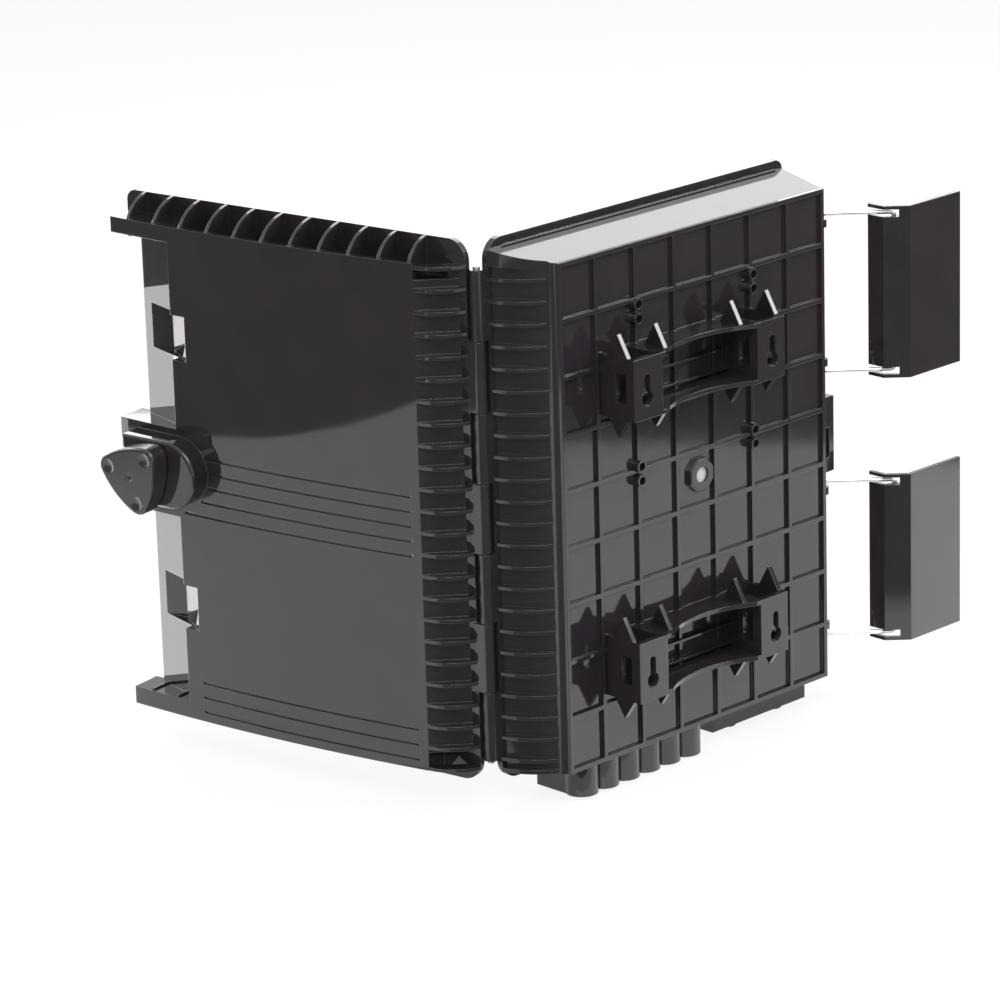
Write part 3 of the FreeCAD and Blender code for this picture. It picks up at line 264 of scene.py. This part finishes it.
crown_tree, crown_in = new_tree("crown_normals", (("Mesh", "Geometry"), ("Crown Axis", "Vector"),
                                                  ("Crown Radius", "Float"), ("Least Match", "Float"),
                                                  ("Finish", "Material")), "Evened")
crown_step = partial(add_step, crown_tree)
place = crown_step("GeometryNodeInputPosition", {})
level = crown_step("ShaderNodeVectorMath", {0: place, 1: (1, 1, 0)}, operation="MULTIPLY")
spoke = crown_step("ShaderNodeVectorMath", {0: level, 1: crown_in["Crown Axis"]}, operation="SUBTRACT")
radial = crown_step("ShaderNodeVectorMath", {0: spoke}, operation="NORMALIZE")
distance = crown_step("ShaderNodeVectorMath", {0: spoke}, "Value", operation="LENGTH")
middle = crown_step("GeometryNodeFieldOnDomain", {"Value": distance}, domain="FACE")
flat = crown_step("GeometryNodeInputNormal", {}, "True Normal")
shaded = crown_step("GeometryNodeInputNormal", {}, "Normal")
match = crown_step("ShaderNodeVectorMath", {0: flat, 1: radial}, "Value", operation="DOT_PRODUCT")
crowned = crown_step("FunctionNodeCompare", {0: match, 1: crown_in["Least Match"]}, operation="GREATER_THAN")
for measure, slack in ((distance, corner_slack), (middle, middle_slack)):
    near = crown_step("FunctionNodeCompare", {0: measure, 1: crown_in["Crown Radius"], "Epsilon": slack},
                      operation="EQUAL")
    crowned = crown_step("FunctionNodeBooleanMath", {0: crowned, 1: near}, operation="AND")
normal = crown_step("GeometryNodeSwitch", {"Switch": crowned, "False": shaded, "True": radial},
                    input_type="VECTOR")
evened = crown_step("GeometryNodeSetMeshNormal", {"Mesh": crown_in["Mesh"], "Custom Normal": normal},
                    mode="FREE", domain="CORNER")
end_tree(crown_tree, evened, crown_in["Finish"], "Evened")
run_tree(node["cover"], crown_tree, {"Crown Axis": crown_axis, "Crown Radius": crown_radius,
                                     "Least Match": least_match, "Finish": cover_skin})

# Lock: moulded three-lobed knob whose spindle carries a steel cam, held by a clip and sealed by a ring.
# The knob has a slightly duller skin from handling; cam and clip are zinc plated.
knob_skin = moulded("knob_skin", (0.021, 0.02, 0.0215), 0.2, 0.0005, ((40, 0.00006), (1100, 0.00001)))
finish_on(["lock_knob"], knob_skin)
finish_on(["spindle_ring"], rubber)
zinc, tree, shader = new_finish("zinc_plate")
shader.inputs["Metallic"].default_value = 1
tint(tree, shader, 220, (0.5, 0.51, 0.53), (0.68, 0.68, 0.67))
mottle(tree, 500, 6, 0.28, 0.48, shader.inputs["Roughness"])
skin(tree, shader, 0.0002, ((700, 0.00002),))
finish_on(["lock_clip", "lock_cam"], zinc)

# Latches: bent stainless wire hung in the ears of the base, and a moulded lever hung on each wire.
# The wire is bright drawn; the levers are the same black plastic as the box.
finish_on(["upper_bail", "lower_bail"], drawn_steel("bail_steel", (900, 900, 900)))
lever_skin = moulded("lever_skin", black_plastic, 0.09, mould_edge, ((34, 0.00008), (900, 0.000002)))
finish_on(["upper_lever", "lower_lever"], lever_skin)

# Splice tray: pale grey moulded tray on a folded bracket, with soft sleeve combs and a clear snap lid.
# It swings out on steel pins.
tray_skin = moulded("tray_skin", (0.6, 0.61, 0.61), 0.42, 0.0003, ((60, 0.00005), (1400, 0.00001)))
finish_on(["splice_tray", "tray_bracket"], tray_skin)
finish_on(["tray_pins"], drawn_steel("tray_pin_steel", (40, 3000, 3000)))
comb_rubber, tree, shader = new_finish("comb_rubber")
tint(tree, shader, 150, (0.045, 0.045, 0.05), (0.065, 0.065, 0.07))
mottle(tree, 400, 3, 0.55, 0.7, shader.inputs["Roughness"])
skin(tree, shader, 0.0002, ((1800, 0.00002),))
finish_on(["splice_combs"], comb_rubber)
clear_lid, tree, shader = new_finish("clear_lid")
shader.inputs["Transmission Weight"].default_value = 1
shader.inputs["IOR"].default_value = 1.49
tint(tree, shader, 30, (0.9, 0.92, 0.93), (0.95, 0.96, 0.96))
mottle(tree, 50, 3, 0.05, 0.1, shader.inputs["Roughness"])
finish_on(["tray_lid"], clear_lid)

# Patching row: folded grey panel that holds a row of blue adapters, each with a soft white cap.
# The adapters snap into square cut-outs, and grey clips beside the row guide the fibre.
panel_skin = moulded("panel_skin", (0.58, 0.59, 0.59), 0.45, 0.0003, ((80, 0.00004), (1500, 0.00001)))
finish_on(["adapter_panel", "fibre_guides"], panel_skin)
adapter_skin = moulded("adapter_skin", (0.02, 0.11, 0.36), 0.3, 0.0003, ((120, 0.00003), (1500, 0.000008)))
finish_on(["adapters"], adapter_skin)
cap_skin = moulded("cap_skin", (0.74, 0.74, 0.71), 0.5, 0.0004, ((140, 0.00004), (1200, 0.00001)))
finish_on(["dust_caps"], cap_skin)

# Cable clamps: pressed zinc plated saddles and small clamp blocks for the cables' strength members.
# All stand on bosses of the base floor and are held by pan-head screws.
finish_on(["cable_clamps", "strength_clamps"], zinc)

# Screws: zinc plated pan heads with a cross recess, driven into the bosses of the base and the lock spindle.
# One tree draws them all: a domed head, the cross and the shank, each at its own chance turn.
screw_sizes = {"Head Radius": 0.003, "Head Height": 0.002, "Shank Radius": 0.0016}
short_shank, cam_shank, long_shank = 0.006, 0.007, 0.008
head_sides, dome_rings, shank_sides = 28, 20, 20
dome_share, arm_long, arm_wide = 1.35, 1.15, 0.3
shank_drop = -0.48
turn_seed = 5
plate_top, block_top = -0.0355, -0.0385
bracket_x = (-0.055, 0.045)
panel_x = (-0.06, 0.05)
clamp_x = (-0.116, -0.091, -0.076, -0.051)
strength_x = (-0.1035, -0.0635)
cam_place = (0.14667, -0.27546, 0.02)
cam_facing = (-0.98769, -0.15643, 0)
to_front = (0, -1, 0)
screw_tree, screw_in = new_tree("pan_screws", (("Places", "Geometry"), ("Head Radius", "Float"),
                                               ("Head Height", "Float"), ("Shank Radius", "Float"),
                                               ("Shank Length", "Float"), ("Lean", "Vector"),
                                               ("Finish", "Material")), "Screws")
screw_step = partial(add_step, screw_tree)


def sum_of(first, factor, second):
    """The first value times a factor, plus the second."""
    return screw_step("ShaderNodeMath", {0: first, 1: factor, 2: second}, operation="MULTIPLY_ADD")


def lifted(shape, height):
    rise = screw_step("ShaderNodeCombineXYZ", {"Z": height})
    return screw_step("GeometryNodeTransform", {"Geometry": shape, "Translation": rise})


def turning(angles):
    return screw_step("FunctionNodeEulerToRotation", {0: angles})


head_r, head_high, shank_long = screw_in["Head Radius"], screw_in["Head Height"], screw_in["Shank Length"]
disc = screw_step("GeometryNodeMeshCylinder", {"Vertices": head_sides, "Radius": head_r, "Depth": head_high})
disc = lifted(disc, sum_of(head_high, 0.5, 0))
dome_r = sum_of(head_r, dome_share, 0)
dome = screw_step("GeometryNodeMeshUVSphere", {"Segments": head_sides, "Rings": dome_rings, "Radius": dome_r})
dome = lifted(dome, sum_of(dome_r, -1, head_high))
head = screw_step("GeometryNodeMeshBoolean", {"Mesh 2": [disc, dome]}, operation="INTERSECT")
arm_size = screw_step("ShaderNodeCombineXYZ", {"X": sum_of(head_r, arm_long, 0),
                                               "Y": sum_of(head_r, arm_wide, 0), "Z": head_high})
arm = lifted(screw_step("GeometryNodeMeshCube", {"Size": arm_size}), head_high)
cross = screw_step("GeometryNodeTransform", {"Geometry": arm, "Rotation": (0, 0, math.pi / 2)})
head = screw_step("GeometryNodeMeshBoolean", {"Mesh 1": head, "Mesh 2": [arm, cross]}, operation="DIFFERENCE")
shank = screw_step("GeometryNodeMeshCylinder", {"Vertices": shank_sides, "Radius": screw_in["Shank Radius"],
                                                "Depth": shank_long})
shank = lifted(shank, sum_of(shank_long, shank_drop, 0))
screw = screw_step("GeometryNodeMeshBoolean", {"Mesh 2": [head, shank]}, operation="UNION")
screws = screw_step("GeometryNodeInstanceOnPoints", {"Points": screw_in["Places"], "Instance": screw,
                                                     "Rotation": turning(screw_in["Lean"])})
chance = screw_tree.nodes.new("FunctionNodeRandomValue")
chance.data_type = "FLOAT"
chance.inputs["Seed"].default_value = turn_seed
spin = screw_step("ShaderNodeCombineXYZ", {"Z": [o for o in chance.outputs if o.enabled]})
screws = screw_step("GeometryNodeRotateInstances", {"Instances": screws, "Rotation": turning(spin)})
end_tree(screw_tree, screws, screw_in["Finish"], "Screws")


def draw_screws(name, body, places, facing, length):
    """Screws in place of one plain node, their heads standing on the places."""
    mesh = bpy.data.meshes.new(name + "_places")
    mesh.from_pydata(places, [], [])
    holder = placed(name + "_places", mesh)
    lean = Vector(facing).to_track_quat("Z", "Y").to_euler()[:]
    run_tree(holder, screw_tree, {**screw_sizes, "Shank Length": length, "Lean": lean, "Finish": zinc})
    drawn = bpy.data.meshes.new_from_object(holder.evaluated_get(bpy.context.evaluated_depsgraph_get()))
    bpy.data.objects.remove(holder)
    obj = placed(name + "_drawn", drawn)
    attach(obj, body)
    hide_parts(name)


draw_screws("bracket_screws", "base", [(x, plate_top, 0.033) for x in bracket_x], to_front, short_shank)
draw_screws("panel_screws", "base", [(x, plate_top, -0.01) for x in panel_x], to_front, short_shank)
draw_screws("clamp_screws", "base", [(x, plate_top, -0.1) for x in clamp_x], to_front, short_shank)
draw_screws("strength_screws", "base", [(x, block_top, -0.078) for x in strength_x], to_front, long_shank)
draw_screws("cam_screw", "lock", [cam_place], cam_facing, cam_shank)

# Studio floor: pale painted sheet under the cable entries, which keeps the shadow.
# It glows for what looks at it directly, so that it fades into the white surroundings.
floor_z = cad_box[0][2]
floor_reach = 6.0
floor_glow = 0.88


def sheet_at(name, corners, material):
    mesh = bpy.data.meshes.new(name)
    mesh.from_pydata(corners, [], [tuple(range(len(corners)))])
    mesh.materials.append(material)
    obj = placed(name, mesh)
    return obj


def seen_directly(tree):
    """One where a camera, mirror or glass ray looks, else zero."""
    path = tree.nodes.new("ShaderNodeLightPath")
    total = path.outputs["Is Camera Ray"]
    for kind in ("Is Glossy Ray", "Is Transmission Ray"):
        add = tree.nodes.new("ShaderNodeMath")
        add.operation = "ADD"
        add.use_clamp = True
        tree.links.new(total, add.inputs[0])
        tree.links.new(path.outputs[kind], add.inputs[1])
        total = add.outputs[0]
    return total


def matt_paint(name, shade, roughness):
    material, tree, shader = new_finish(name)
    shader.inputs["Base Color"].default_value = (shade, shade, shade, 1)
    shader.inputs["Roughness"].default_value = roughness
    shader.inputs["Specular IOR Level"].default_value = 0
    return material, tree, shader


floor_paint, tree, shader = matt_paint("floor_paint", 0.82, 0.9)
glow = tree.nodes.new("ShaderNodeEmission")
blend = tree.nodes.new("ShaderNodeMixShader")
share = tree.nodes.new("ShaderNodeMath")
share.operation = "MULTIPLY"
share.inputs[1].default_value = floor_glow
tree.links.new(seen_directly(tree), share.inputs[0])
tree.links.new(share.outputs[0], blend.inputs["Fac"])
tree.links.new(shader.outputs["BSDF"], blend.inputs[1])
tree.links.new(glow.outputs["Emission"], blend.inputs[2])
tree.links.new(blend.outputs["Shader"], tree.nodes["Material Output"].inputs["Surface"])
sheet_at("floor", [(-floor_reach, -floor_reach, floor_z), (floor_reach, -floor_reach, floor_z),
                   (floor_reach, floor_reach, floor_z), (-floor_reach, floor_reach, floor_z)], floor_paint)

# Studio boards and cards: dark boards and bright cards beside the box, which only its gloss can see.
# They give the polished faces their dark and pale halves.
card_z = floor_z + 0.001
card_y, card_top = -0.37, 0.098
pocket_x, pocket_y, pocket_bright = (0.2, 0.225), -0.368, 13
cover_feet = [(1.3, 0.0), (0.85, -0.398), (0.75, -0.525), (0.6, -0.86), (0.36, -1.1)]
cover_high, back_high = 0.5, 0.361
board_paint, tree, shader = matt_paint("board_paint", 0.14, 0.95)


def only_mirrored(obj):
    """Keep a board out of the picture, the shadows and the diffuse light."""
    obj.visible_camera = False
    obj.visible_shadow = False
    obj.visible_diffuse = False


def dark_board(name, start, end, high):
    """Upright dark board between two points of the floor."""
    top = floor_z + high
    corners = [(*start, card_z), (*end, card_z), (*end, top), (*start, top)]
    only_mirrored(sheet_at(name, corners, board_paint))


def on_floor(points):
    return [(*point, card_z) for point in points]


def upright(x, y, z):
    return [(x[0], y, z[0]), (x[1], y, z[0]), (x[1], y, z[1]), (x[0], y, z[1])]


def white_card(name, corners, brightness):
    paint, tree, shader = new_finish(name)
    shader.inputs["Base Color"].default_value = (0, 0, 0, 1)
    shader.inputs["Emission Color"].default_value = (1, 1, 1, 1)
    shader.inputs["Emission Strength"].default_value = brightness
    only_mirrored(sheet_at(name, corners, paint))


for number, (start, end) in enumerate(zip(cover_feet, cover_feet[1:])):
    dark_board("cover_board_%d" % number, start, end, cover_high)
dark_board("back_board", (-0.1046, 0.8531), (-0.8554, -0.0831), back_high)
only_mirrored(sheet_at("hinge_board", on_floor([(0.14, -0.04), (1.3, 0.08), (1.3, 1.3), (-0.6, 0.72)]),
                       board_paint))
white_card("ledge_card", upright((0.165, 0.26), card_y, (card_z, card_top)), 3.7)
white_card("pocket_card", upright((0.12, 0.165), card_y, (card_z, card_top)), 2.9)
white_card("upper_pocket_card", upright(pocket_x, pocket_y, (0.05, 0.079)), pocket_bright)
white_card("lower_pocket_card", upright(pocket_x, pocket_y, (-0.112, -0.083)), pocket_bright)
white_card("cover_card", on_floor([(0.2, -0.1)] + cover_feet[:4] + [(0.2, -0.5)]), 1.4)
white_card("back_card", on_floor([(0.1, -0.03), (-0.41, 0.48), (-0.55, 0.345), (-0.14, -0.02)]), 1.4)
white_card("lever_card", on_floor([(-0.14, -0.02), (-0.55, 0.345), (-0.64, 0.25), (-0.26, -0.03)]), 2.3)

# Studio light: white surroundings that light the box with a part of their brightness, and four soft boxes.
# Each box has an even brightness over its face.
fill_light = 0.55
watts_for_radiance = 4
world = bpy.data.worlds.new("studio")
bpy.context.scene.world = world
world.use_nodes = True
tree = world.node_tree
fill = tree.nodes["Background"]
fill.inputs["Color"].default_value = (1, 1, 1, 1)
fill.inputs["Strength"].default_value = fill_light
white = tree.nodes.new("ShaderNodeBackground")
white.inputs["Strength"].default_value = 1
white.inputs["Color"].default_value = (1, 1, 1, 1)
blend = tree.nodes.new("ShaderNodeMixShader")
tree.links.new(seen_directly(tree), blend.inputs["Fac"])
tree.links.new(fill.outputs["Background"], blend.inputs[1])
tree.links.new(white.outputs["Background"], blend.inputs[2])
tree.links.new(blend.outputs["Shader"], tree.nodes["World Output"].inputs["Surface"])


def soft_box(name, place, aim, size, radiance):
    lamp = bpy.data.lights.new(name, "AREA")
    lamp.shape = "RECTANGLE"
    lamp.size, lamp.size_y = size
    lamp.energy = radiance * size[0] * size[1] * watts_for_radiance
    box = placed(name, lamp)
    box.location = place
    box.rotation_euler = (Vector(aim) - Vector(place)).to_track_quat("-Z", "Y").to_euler()
    box.visible_camera = False


soft_box("key_box", (-0.95, 0.86, 1.0), (0, 0, 0.05), (0.8, 0.8), 8)
soft_box("top_box", (0.75, 0.7, 1.15), (0.1, -0.05, 0.05), (0.9, 0.9), 5)
soft_box("back_box", (-1.2, -1.1, 1.1), (0, 0, 0.1), (1.6, 1.2), 2.6)
soft_box("side_box", (0.42, -0.95, 0.4), (0.15, -0.27, 0.1), (0.5, 0.5), 6)

# Camera: long lens at the viewing angle of the picture.
# Its place is in metres, and two directions give its turn.
camera_at = (1.8798, 1.7447, 0.8205)
forward = Vector((-0.6681, -0.6809, -0.3000)).normalized()
right = Vector((-0.7073, 0.7064, -0.0283))
lens = bpy.data.cameras.new("camera")
lens.lens = 171.76
lens.sensor_width = 36
lens.sensor_fit = "HORIZONTAL"
camera = placed("camera", lens)
right = (right - forward * right.dot(forward)).normalized()
upward = right.cross(forward)
turn = Matrix((right, upward, -forward)).transposed().to_4x4()
camera.matrix_world = Matrix.Translation(camera_at) @ turn
bpy.context.scene.camera = camera
bpy.context.scene.view_settings.view_transform = "Standard"
